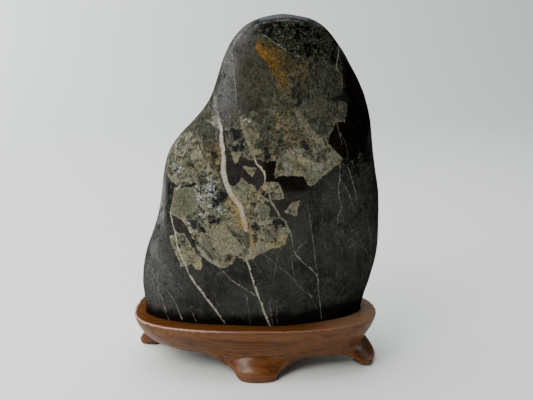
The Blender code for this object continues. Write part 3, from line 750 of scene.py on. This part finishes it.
def paintVeins(mesh, places, front):
    for layer in range(veinLayers):
        line = np.tile((9.0, farAway, 0.2), (len(places), 1))
        look = np.zeros((len(places), 3))
        for mask, group in ((front, veins), (~front, backVeins)):
            for ownLayer, begin, middle, end, strength, white, softness, path in group:
                if ownLayer != layer:
                    continue
                side, apart, half = onPath(places[mask], path, (begin, middle, end))
                closer = apart < line[mask, 1]
                rows = np.flatnonzero(mask)[closer]
                line[rows] = np.stack((side, apart, half), axis=1)[closer]
                look[rows] = (strength, white, softness)
        writeField(mesh, "line%d" % layer, line)
        writeField(mesh, "look%d" % layer, look)


def paintStone(mesh, points, normals):
    x, y, z = points.T
    front = y < 0
    turn = np.maximum(0, np.interp(z, flankHeights, flankDepths) - np.abs(y) - flankRound)
    across = x + np.sign(x) * turn
    places = np.stack((across, z), axis=1)
    writeField(mesh, "patch", outlineField(places, front, patches.values(), backPatches.values()))
    paintVeins(mesh, places, front)
    for name, outlines in shapes.items():
        field = outlineField(places, front, outlines, backShapes.get(name, ()))
        for half, path in strokes.get(name, ()):
            field[front] = np.maximum(field[front], half - onPath(places[front], path, (half,) * 3)[1])
        writeField(mesh, name, field)
    for name in tints:
        total = np.zeros(len(points))
        for group, share in ((tints, smoothStep(-y, -10, 0)), (backTints, smoothStep(y, 0, 10))):
            for centreX, centreZ, reachX, reachZ, amount in group.get(name, ()):
                far = ((across - centreX) / reachX) ** 2 + ((z - centreZ) / reachZ) ** 2
                total += amount * np.exp(-far / 2) * share
        writeField(mesh, name, total)
    # the broad faces are waxed, the edges dull
    writeField(mesh, "polish", smoothStep(np.abs(normals[:, 1]), 0.5, 0.9))


def stoneGrit(board):
    # noises of every size, and angular cells bent by a swirl
    point = board.point
    warped = board.vector("ADD", point, board.scaled(board.noise(point, 0.7, 3.0, 0.7, output="Color"), 1.8))
    grit = SimpleNamespace(
        wide=board.noise(point, 0.05, 2),
        soft=board.noise(point, 0.14, 3, 0.6),
        medium=board.noise(point, 0.38, 4, 0.65),
        fine=board.noise(point, 0.8, 4, 0.7),
        grain=board.noise(point, 1.7, 3, 0.7),
        streak=board.noise(board.stretched(0.9, 0.9, 0.35), 0.8, 3, 0.65),
        broken=board.noise(point, 0.3, 4, 0.7),
        slab=board.parts(board.cells(warped, 0.11, output="Color")),
        shard=board.parts(board.cells(warped, 0.30, output="Color")),
        chip=board.parts(board.cells(warped, 0.85, output="Color")),
        seam=board.cells(warped, 0.30, "DISTANCE_TO_EDGE"),
        network=board.cells(warped, 0.8, "DISTANCE_TO_EDGE"),
    )
    grit.ragged = (grit.fine - 0.5) * 3.5 + (grit.grain - 0.5) * 2.0
    grit.mottle = grit.soft * 0.2 + grit.medium * 0.3 + grit.fine * 0.3 + grit.grain * 0.2
    grit.across, _, grit.height = board.parts(point)
    return grit


def raggedShape(board, grit, name, amount, width):
    # an outline, frayed by the noises and as soft as the width
    return ((board.attribute(name) + grit.ragged * amount) / width + 0.5).clamped()


def groundColour(board, grit, mark):
    # dark ground: mottled and scratched, with painted sheen and a painted reflection on the left flank, a
    # painted reflection along the top edge, painted shade low down by the stand and down the right flank, and
    # black with sparks at the top
    soft, medium, fine, grain = grit.soft, grit.medium, grit.fine, grit.grain
    across, height, broken = grit.across, grit.height, grit.broken
    coal = soft * 0.5 + medium * 0.5
    hair = abs(board.noise(board.stretched(0.24, 0.24, 0.07), 1.0, 2) - 0.5).ramp(0.008, 0.0)
    tilted = board.add("ShaderNodeMapping", (), {
        "Vector": board.point, "Rotation": (0.0, 0.55, 0.0), "Scale": (0.26, 0.26, 0.06),
    })
    hair = hair + abs(board.noise(tilted, 1.0, 2) - 0.5).ramp(0.007, 0.0)
    smudge = (grit.streak * 0.4 + fine * 0.35 + grain * 0.25).ramp(0.49, 0.57)
    smudge = mark.scratch * smudge * broken.ramp(0.44, 0.60)
    # painted sheen: lighter on the left flank and upper left, speckled high up, and lighter still far round
    # the flank
    haze = mark.haze * (soft * 0.35 + fine * 0.35 + grain * 0.3).ramp(0.40, 0.56)
    speckledSheen = mark.haze * height.ramp(95, 130) * (grain * 0.6 + fine * 0.4).ramp(0.53, 0.60)
    flank = mark.haze * across.ramp(-50.0, -58.0)
    duskGrain = mark.dusk * (grain * 0.5 + grit.streak * 0.5).ramp(0.52, 0.58)
    # painted reflection: a light band on the left flank
    flankReflection = across.ramp(-43.0, -46.5) * height.ramp(73, 81) * height.ramp(105, 97) * coal.ramp(0.42, 0.52)
    sparks = (grain * 0.65 + fine * 0.35).ramp(0.53, 0.57) * (coal.ramp(0.46, 0.52) * 0.85 + 0.15)
    void = raggedShape(board, grit, "void", 0.8, 2.6)
    # painted shade: dark low down where the stone sits in the stand, reaching higher towards the right
    under = (height - across.ramp(-5.0, 40.0) * 4.5 + (soft - 0.5) * 8.0).ramp(33.5, 29.5)
    return board.layered(
        board.mix(grit.wide.ramp(0.44, 0.56), rock["soot"], rock["slate"]),
        (mark.mauve, rock["mauve"]),
        (grit.mottle.ramp(0.455, 0.57) * (0.6 - mark.mauve * 0.3), rock["ash"]),
        (grain.ramp(0.48, 0.40) * 0.45, rock["pit"]),
        (hair.clamped() * broken.ramp(0.45, 0.56) * 0.6, rock["hair"]),
        (smudge * 0.7, rock["scratch"]),
        (haze, rock["haze"]),
        (speckledSheen * 0.45, rock["sheenSpeckle"]),
        (flank * 0.3, rock["flank"]),
        (mark.dusk * 0.9, rock["dusk"]),
        (mark.dusk * grit.mottle.ramp(0.46, 0.56), rock["duskMottle"]),
        (duskGrain * 0.36, rock["duskGrain"]),
        (flankReflection * 0.75, rock["flankReflection"]),
        (mark.night, board.mix(coal.ramp(0.485, 0.55), rock["night"], rock["nightPale"])),
        (mark.night * sparks * 0.68, rock["spark"]),
        (void * 0.9, rock["void"]),
        (void * (grain * 0.6 + fine * 0.4).ramp(0.54, 0.59) * 0.7, rock["ember"]),
        (under * 0.88, rock["underShade"]),
        # painted reflection along the top edge
        (mark.crest * 0.9, rock["crest"]),
    )


def patchFlecks(grit, mark, covered):
    # dark shards, chips and seams
    amount = mark.speck * 0.30 - mark.plain * 0.10
    flecks = (amount * 0.45 - 0.03 - grit.shard[2]).ramp(0.0, 0.02)
    flecks = flecks + (amount + 0.055 - grit.chip[2]).ramp(0.0, 0.02) * grit.broken.ramp(0.44, 0.52)
    seams = (0.05 - grit.seam).ramp(0.0, 0.04) * (mark.speck * 0.6 + 0.3)
    return (flecks + seams * grit.broken.ramp(0.48, 0.56)).clamped() * covered


def patchColour(board, grit, mark, edge, flecks, green, cream):
    # the pale patches, built from angular shards, darker and streaked towards the top
    soft, medium, fine, grain = grit.soft, grit.medium, grit.fine, grit.grain
    slab, shard, umbra, height = grit.slab, grit.shard, mark.umbra, grit.height
    high = height.ramp(116, 146)
    tone = 0.47 + (shard[0] - 0.5) * 0.34 + (slab[0] - 0.5) * 0.26 + (medium - 0.5) * 1.5 + (fine - 0.5) * 1.6
    tone = tone + (grain - 0.5) * 2.2 + height.ramp(110, 80) * 0.10 - height.ramp(102, 126) * 0.25
    tone = (tone - umbra * 0.2).clamped()
    yellow = (mark.buff * 0.6 + (soft - 0.5) * 2.0 + (shard[1] - 0.5) * 0.3).clamped()
    speckled = (fine * 0.5 + grain * 0.5 - umbra * 0.08).ramp(0.41, 0.58)
    vertical = (grit.streak * 0.45 + fine * 0.25 + grain * 0.3).ramp(0.45, 0.56)
    # pale worn edges round the patches
    worn = (1.2 - edge).ramp(0.0, 1.0) * grit.broken.ramp(0.44, 0.56) * (1.0 - high)
    return board.layered(
        board.mix(tone.ramp(0.05, 0.45), rock["moss"], rock["lichen"]),
        (tone.ramp(0.42, 0.90), rock["sand"]),
        (slab[1].ramp(0.5, 0.6) * 0.5, board.mix(tone, rock["slabDark"], rock["slabPale"])),
        (yellow * 0.75, board.mix(tone.ramp(0.1, 0.9), rock["buffDark"], rock["buffPale"])),
        (umbra * 0.75 * (medium * 0.5 + grain * 0.5).ramp(0.56, 0.46), rock["umbra"]),
        (green * 0.85, board.mix(speckled, rock["greenDark"], rock["greenPale"])),
        (cream * 0.8, board.mix(speckled, rock["creamDark"], rock["creamPale"])),
        (high * 0.75, board.mix(vertical, rock["highDark"], rock["highPale"])),
        (high * mark.buff * 0.65, board.mix(vertical, rock["highBuffDark"], rock["highBuffPale"])),
        (flecks * 0.92, rock["fleck"]),
        (worn * 0.45, rock["edge"]),
    )


def stainColour(board, grit, mark):
    # mustard and orange, broken by a network of dark cracks
    medium, fine, grain, streak = grit.medium, grit.fine, grit.grain, grit.streak
    hot = (board.attribute("rust") - 1.0).clamped()
    cracks = (abs(fine - 0.5).ramp(0.032, 0.009) + abs(streak - 0.5).ramp(0.018, 0.004)).clamped()
    base = (streak * 0.3 + fine * 0.4 + grain * 0.3).ramp(0.43, 0.57)
    return board.layered(
        board.mix(base, rock["mustardDark"], rock["mustard"]),
        (mark.rust * (medium * 0.5 + fine * 0.5).ramp(0.42, 0.54), rock["rust"]),
        (hot * (medium * 0.4 + fine * 0.6).ramp(0.43, 0.53), rock["orange"]),
        (cracks * 0.86, rock["crack"]),
        (grit.network.ramp(0.10, 0.02) * grit.broken.ramp(0.44, 0.52) * 0.8, rock["network"]),
    )


def veinLayer(board, grit, mark, layer):
    # how much vein there is, and its colour
    broken, fine = grit.broken, grit.fine
    side, apart, half = board.parts(board.attribute("line%d" % layer, "Vector"))
    strength, white, softness = board.parts(board.attribute("look%d" % layer, "Vector"))
    ripple = (broken - 0.5) * 1.6 + (fine - 0.5) * 0.7
    steady = (1.25 - half).clamped()
    off = abs(side + ripple * steady)
    swell = half * (1.0 + (broken - 0.5) * 4.0 * steady)
    line = ((swell - off) / (half * softness * 1.3 + 0.16) + 0.5).clamped()
    line = line * (1.0 - (apart - half).ramp(1.0, 1.7)) * strength
    gaps = (broken * 0.5 + fine * 0.5).ramp(0.44, 0.54)
    line = (line * (gaps * (1.2 - strength) + strength - 0.1)).clamped()
    return line, board.layered(
        board.mix(white, rock["veinDull"], rock["vein"]),
        (grit.grain.ramp(0.45, 0.60) * white * 0.6, rock["veinGlint"]),
        ((0.5 - fine).ramp(0.0, 0.09) * 0.45, rock["veinDirt"]),
        (mark.rust * 0.5, rock["veinRust"]),
    )


def stoneMaterial():
    board = Board("water-worn breccia")
    grit = stoneGrit(board)
    mark = SimpleNamespace(**{name: board.attribute(name).clamped() for name in tints})
    medium, fine, grain = grit.medium, grit.fine, grit.grain

    edge = board.attribute("patch") + (medium - 0.5) * 1.4 + (fine - 0.5) * 1.8
    inside = (edge / (0.18 + mark.fade * 6.0) + 0.5 + mark.fade * (medium - 0.5) * 4.0).clamped()
    green = raggedShape(board, grit, "green", 0.7, 0.5)
    cream = raggedShape(board, grit, "cream", 0.4, 0.4)
    flecks = patchFlecks(grit, mark, (1.0 - green * 0.9) * (1.0 - cream * 0.9))
    stain = raggedShape(board, grit, "stain", 0.8, 0.7)
    aside = mark.rust * (inside * 0.85 + 0.15) * (1.0 - stain) * (1.0 - grit.height.ramp(147, 152))
    aside = aside * (fine * 0.6 + grain * 0.4).ramp(0.46, 0.56)
    dark = raggedShape(board, grit, "dark", 1.9, 0.35)
    dark = dark * (0.4 + (fine * 0.5 + grain * 0.5).ramp(0.46, 0.53) * 0.55)
    frost = raggedShape(board, grit, "frost", 1.8, 0.5) * (fine * 0.4 + grain * 0.6).ramp(0.495, 0.55)
    frost = frost * (1.0 - flecks * 0.9)
    lines = [veinLayer(board, grit, mark, layer) for layer in range(veinLayers)]  # so crossings stay clean
    colour = board.layered(
        groundColour(board, grit, mark),
        (inside, patchColour(board, grit, mark, edge, flecks, green, cream)),
        (stain * 0.9, stainColour(board, grit, mark)),
        (aside * 0.9, rock["rustAside"]),
        (dark, rock["blot"]),
        (frost * 0.85, rock["frost"]),
        *lines,
    )

    relief = inside * 0.15
    for line, _ in lines:
        relief = relief + line * 0.12
    relief = relief + (grain - 0.5) * 0.3 + (medium - 0.5) * 0.8 - flecks * inside * 0.15
    coat = (0.07 * board.attribute("polish") + (medium - 0.5) * 0.2 - mark.night * 0.07).clamped()
    return board.finish(
        Base_Color=colour,
        Roughness=0.42 + (grain - 0.5) * 0.4 + inside * 0.06 + (grit.wide - 0.5) * 0.12,
        Normal=board.bump(relief, 0.5, 0.6 * mm),
        Specular_IOR_Level=0.0,
        Coat_Weight=coat,
        Coat_Roughness=0.25,
    )


# how far the outline moves out at each height, how the peak rises and how deep the wear is, in mm
trims = {
    "rightHeights": (
        30, 36, 41.5, 47, 52, 57, 63, 68, 74, 84, 89, 94, 99, 105, 115, 125, 134, 153, 158, 168, 175),
    "right": (
        0, -0.4, -0.2, 0, 0.5, 0.7, 0.7, 0.5, 0.3, 0.4, 0.6, 0.5, 0.4, 0.3, 0.2, 0.3, 0, 0, 0.4, 0.6, 0.3),
    "leftHeights": (30, 36, 41, 52, 63, 68, 74, 80),
    "left": (0, 0, 0.5, 0.5, 0.7, 0.5, 0.1, 0),
    "peakRise": 0.9,
    "peakPlace": 14,
    "peakReach": 8,
    "wornSwell": 0.22,
    "wornPits": 0.10,
}


def makeStone():
    piece = mergedCopy("stone", "stoneBody")
    applied(
        piece,
        ("SUBSURF", {"levels": 2, "render_levels": 2}),
        ("REMESH", {"mode": "VOXEL", "voxel_size": 0.8 * mm}),
        ("SMOOTH", {"factor": 0.5, "iterations": 14}),
    )
    mesh = piece.data
    points = readVectors(mesh, "co") / mm
    normals = readVectors(mesh, "normal")
    paintStone(mesh, points, normals)
    x, _, z = points.T
    free = smoothStep(z, 27, 33)  # nothing is worn where the stone sits in the stand
    x += np.interp(z, trims["rightHeights"], trims["right"]) * smoothStep(x, 15, 45)
    x -= np.interp(z, trims["leftHeights"], trims["left"]) * smoothStep(-x, 10, 40)
    peak = np.exp(-(((x - trims["peakPlace"]) / trims["peakReach"]) ** 2))
    z += trims["peakRise"] * peak * smoothStep(z, 160, 174)
    rise = trims["wornSwell"] * smoothNoise(points, 14, 3) + trims["wornPits"] * smoothNoise(points, 5.5, 4)
    points += normals * (rise * free)[:, None]
    writePoints(mesh, points)
    install(piece, "stone", stoneMaterial())
    return piece


stone = makeStone()
print("stone", len(stone.data.vertices))


wood = {
    "light": (0.170, 0.066, 0.020),
    "middle": (0.112, 0.037, 0.0095),
    "dark": (0.066, 0.019, 0.0048),
    "pore": (0.028, 0.008, 0.003),
    # painted shade on the top of the rim
    "worn": (0.048, 0.0155, 0.0035),
    # painted sheen on the top of the rim at the right
    "dry": (0.185, 0.110, 0.064),
    # painted highlight on the arris and the front foot
    "arrisHighlight": (0.58, 0.38, 0.31),
}


def woodMaterial():
    board = Board("oiled wood")
    drift = board.noise(board.stretched(0.010, 0.06, 0.06), 1.0, 3)
    lines = board.noise(board.stretched(0.016, 0.34, 0.34), 1.0, 5, 0.62, 0.6)
    fibre = board.noise(board.stretched(0.05, 1.5, 1.5), 1.0, 4, 0.65)
    pores = board.noise(board.stretched(0.09, 2.6, 2.6), 1.0, 2, 0.5)
    openPores = pores.ramp(0.56, 0.66)
    colour = board.layered(
        board.mix((lines * 0.6 + drift * 0.4).ramp(0.38, 0.55), wood["dark"], wood["middle"]),
        ((fibre * 0.6 + lines * 0.4).ramp(0.45, 0.60) * 0.75, wood["light"]),
        (openPores * 0.45, wood["pore"]),
        # painted shade and painted sheen on the top of the rim, and a painted highlight on the arris and the
        # front foot
        (board.attribute("worn") * 0.6, wood["worn"]),
        (board.attribute("dry") * 0.6, wood["dry"]),
        (board.attribute("arrisHighlight") * 0.85, wood["arrisHighlight"]),
    )
    return board.finish(
        Base_Color=colour,
        Roughness=0.36 + (fibre - 0.5) * 0.6 + pores.ramp(0.55, 0.70) * 0.12,
        Normal=board.bump(fibre * 0.5 - openPores * 0.5, 0.25, 0.3 * mm),
        Specular_IOR_Level=0.0,
        Coat_Weight=0.48 - board.attribute("crown") * 0.44,
        Coat_Roughness=0.26,
    )


# in mm, and the number of passes that soften the joins
carving = {
    "kneeHeights": (0, 0.8, 2.4, 4.4, 6.4, 8.2, 9.8, 11.4, 11.8, 13.5, 15.2, 17.2, 19.2),
    "kneeReach": (0.7, 0.6, 0.6, 1.1, 1.4, 1.5, 2.2, 3.5, 3.4, 2.6, 1.4, 0.5, 0),
    "kneeWidth": 11,
    "waistWidth": 15,
    "toeRounding": 0.018,
    "heelOut": 1.4,
    "soleTuck": 0.6,
    "flareRight": 4.2,
    "flareLeft": 3.3,
    "bellySag": 0.9,
    "rightRoot": 3.8,
    "rightToe": 3.6,
    "rightLift": 2.4,
    "leftToe": 1.3,
    "softening": 44,
    "toolMarks": 0.10,
    "arrisOut": 0.55,
    "arrisUp": 0.5,
}


def carveFrontFoot(x, y, z):
    # knee, rounded toe and a heel that turns out on the left
    width = carving["kneeWidth"] + (carving["waistWidth"] - carving["kneeWidth"]) * smoothStep(z, 7, 10)
    near = smoothStep(-y, 14, 22) * np.exp(-(((x - 0.5) / width) ** 4))
    y -= near * np.interp(z, carving["kneeHeights"], carving["kneeReach"])
    y += near * carving["toeRounding"] * (x - 1) ** 2 * (1 - smoothStep(z, 7, 11))
    heel = near * smoothStep(-x, 3, 8)
    x -= heel * carving["heelOut"] * np.exp(-(((z - 5.0) / 2.6) ** 2))
    x += heel * carving["soleTuck"] * (1 - smoothStep(z, 0.2, 2.2))


def carveBowl(x, y, z):
    # the bowl flares down into the front foot on both sides, and sags a little at the left
    right = x > 0
    spread = np.where(right, (x - 18.0) / 8.5, (x + 15.5) / 7)
    flare = np.exp(-(spread ** 2)) * smoothStep(-y, 4, 14)
    flare *= smoothStep(z, 2, 7) * (1 - smoothStep(z, 10, 18))
    z -= flare * np.where(right, carving["flareRight"], carving["flareLeft"])
    belly = smoothStep(-x, 6, 18) * (1 - smoothStep(-x, 34, 46))
    z -= carving["bellySag"] * belly * (1 - smoothStep(z, 9, 16)) * smoothStep(z, 4, 8)


def carveSideFeet(x, y, z):
    # the right foot grows out of the bowl and rises from its toe, and the left toe reaches out
    side = smoothStep(x, 22, 52) * (1 - smoothStep(np.abs(y + 12), 8, 18))
    z -= carving["rightRoot"] * side * smoothStep(z, 3, 7) * (1 - smoothStep(z, 8, 16))
    lift = np.clip((60 - x) / 5, 0, carving["rightLift"]) * (x > 40)
    z += lift * (1 - smoothStep(z, 1, 7)) * (np.abs(y) < 20)
    y -= carving["rightToe"] * smoothStep(x, 42, 54) * (1 - smoothStep(z, 4, 11))
    x -= carving["leftToe"] * smoothStep(-x, 50, 58) * (1 - smoothStep(z, 2, 9))


def softenBlend(piece, z):
    # smooths where the feet and the bowl meet
    blend = piece.vertex_groups.new(name="blend")
    weights = smoothStep(z, 1.5, 4) * (1 - smoothStep(z, 15, 19))
    levels = 5
    for step in range(1, levels + 1):
        blend.add(np.flatnonzero(weights > step / (levels + 1)).tolist(), step / levels, "REPLACE")
    applied(piece, ("SMOOTH", {"factor": 0.5, "iterations": carving["softening"], "vertex_group": "blend"}))
    piece.vertex_groups.clear()


def raiseArris(points, normals):
    # a crisp edge round the rim
    outward = normals[:, :2] / np.maximum(np.hypot(normals[:, 0], normals[:, 1]), 0.01)[:, None]
    outer = np.sum(outward * points[:, :2], axis=1) > 0
    corner = outer * (points[:, 2] > 23.5) * np.clip(1 - np.abs(normals[:, 2] - 0.6) / 0.38, 0, 1)
    points[:, :2] += outward * (carving["arrisOut"] * corner)[:, None]
    points[:, 2] += carving["arrisUp"] * corner
    return corner


def paintStand(mesh, points, normals, corner):
    # painted shade on the top of the rim, giving way to a painted sheen at the right, and a painted highlight
    # on the arris and on the left of the front foot
    x, y, z = points.T
    crown = smoothStep(z, 24.5, 25.5) * smoothStep(normals[:, 2], 0.6, 0.85)
    right = smoothStep(x, 22, 50)
    left = smoothStep(-x, 0, 35)
    arrisHighlight = np.clip(corner * 2.2 - 0.9 + 0.35 * left * (corner > 0), 0, 1) * (0.3 + 0.7 * left)
    # painted highlight on the left of the front foot
    kneeHighlight = np.exp(-(((x + 5) / 4.5) ** 2 + ((z - 5.5) / 3.2) ** 2)) * (y < -20)
    writeField(mesh, "crown", crown * (1 - 0.4 * right))
    writeField(mesh, "worn", crown * (1 - right))
    writeField(mesh, "dry", crown * right)
    writeField(mesh, "arrisHighlight", np.maximum(arrisHighlight, 0.06 * kneeHighlight))


def makeStand():
    piece = mergedCopy("stand", "carvedStand")
    applied(
        piece,
        ("REMESH", {"mode": "VOXEL", "voxel_size": 0.7 * mm}),
        ("SMOOTH", {"factor": 0.5, "iterations": 8}),
    )
    points = readVectors(piece.data, "co") / mm
    for carve in (carveFrontFoot, carveBowl, carveSideFeet):
        carve(*points.T)
    writePoints(piece.data, points)
    softenBlend(piece, points[:, 2])
    mesh = piece.data
    points = readVectors(mesh, "co") / mm
    normals = readVectors(mesh, "normal")
    marks = smoothNoise(points * (0.5, 1, 1), 9, 7) * smoothStep(points[:, 2], 1.5, 4)
    points += normals * (carving["toolMarks"] * marks)[:, None]
    corner = raiseArris(points, normals)
    paintStand(mesh, points, normals, corner)
    # the soles stay flat
    sole = (points[:, 2] < 0.35) & (normals[:, 2] < -0.6)
    points[sole, 2] = 0.0
    points[:, 2] = np.maximum(points[:, 2], 0.0)
    writePoints(mesh, points)
    install(piece, "stand", woodMaterial())
    return piece


stand = makeStand()
print("stand", len(stand.data.vertices))


# in metres and degrees
studio = {
    "floorColour": (0.765, 0.80, 0.775),
    "floorFront": -2.0,
    "floorBend": 0.9,
    "bendRadius": 0.5,
    "floorTop": 2.4,
    "floorHalfWidth": 2.5,
    "sky": (0.92, 0.96, 1.0, 1.0),
    "skyStrength": 0.07,
    "cameraPlace": (0.00575, -0.394, 0.175),
    "cameraTilt": 77,
    "lens": 54.03,
}

# place, where it points, size, power and colour
lamps = {
    "window": ((-0.75, -0.25, 0.75), (0, 0, 0.08), (1.0, 1.0), 11.7, (1.0, 1.0, 0.98)),
    "wall": ((-1.25, 0.75, 0.6), (-0.8, 1.4, 0.2), (0.8, 0.8), 21.0, (0.95, 1.0, 0.98)),
    "ceiling": ((-0.1, 0.25, 1.1), (0, 0, 0.0), (1.2, 1.0), 11.8, (0.98, 1.0, 0.99)),
    "front": ((-0.5, -0.8, 0.9), (0, 0, 0.08), (0.6, 0.6), 9.0, (1.0, 1.0, 0.98)),
}


def makeFloor():
    # a strip from front to back that bends up into a wall
    bend, radius = studio["floorBend"], studio["bendRadius"]
    turns = np.linspace(0.1, 1.57, 12)
    profile = [(studio["floorFront"], 0.0), (bend, 0.0)]
    profile += [(bend + radius * math.sin(turn), radius - radius * math.cos(turn)) for turn in turns]
    profile += [(bend + radius, studio["floorTop"])]
    work = bmesh.new()
    grid = bmesh.ops.create_grid(work, x_segments=1, y_segments=len(profile) - 1, size=1)
    for index, corner in enumerate(grid["verts"]):
        y, z = profile[index // 2]
        corner.co = (corner.co.x * studio["floorHalfWidth"], y, z)
    mesh = bpy.data.meshes.new("floor")
    work.to_mesh(mesh)
    work.free()
    floor = bpy.data.objects.new("floor", mesh)
    bpy.context.scene.collection.objects.link(floor)
    shadeSmooth(floor)
    mesh.materials.append(Board("pale floor").finish(Base_Color=studio["floorColour"], Roughness=0.7))


def makeLamp(name, place, target, size, power, colour):
    data = bpy.data.lights.new(name, "AREA")
    data.shape = "RECTANGLE"
    data.size, data.size_y = size
    data.energy = power
    data.color = colour
    lamp = bpy.data.objects.new(name, data)
    lamp.location = place
    lamp.rotation_euler = (Vector(target) - Vector(place)).to_track_quat("-Z", "Y").to_euler()
    bpy.context.scene.collection.objects.link(lamp)


def makeCamera():
    data = bpy.data.cameras.new("camera")
    data.sensor_width = 36
    data.lens = studio["lens"]
    data.clip_start = 0.01
    camera = bpy.data.objects.new("camera", data)
    camera.location = studio["cameraPlace"]
    camera.rotation_euler = (math.radians(studio["cameraTilt"]), 0, 0)
    bpy.context.scene.collection.objects.link(camera)
    bpy.context.scene.camera = camera


def makeSky():
    world = bpy.data.worlds.new("world")
    world.use_nodes = True
    background = world.node_tree.nodes["Background"]
    background.inputs["Color"].default_value = studio["sky"]
    background.inputs["Strength"].default_value = studio["skyStrength"]
    bpy.context.scene.world = world


makeFloor()
for name, lamp in lamps.items():
    makeLamp(name, *lamp)
makeCamera()
makeSky()
print("floor, lamps and camera")
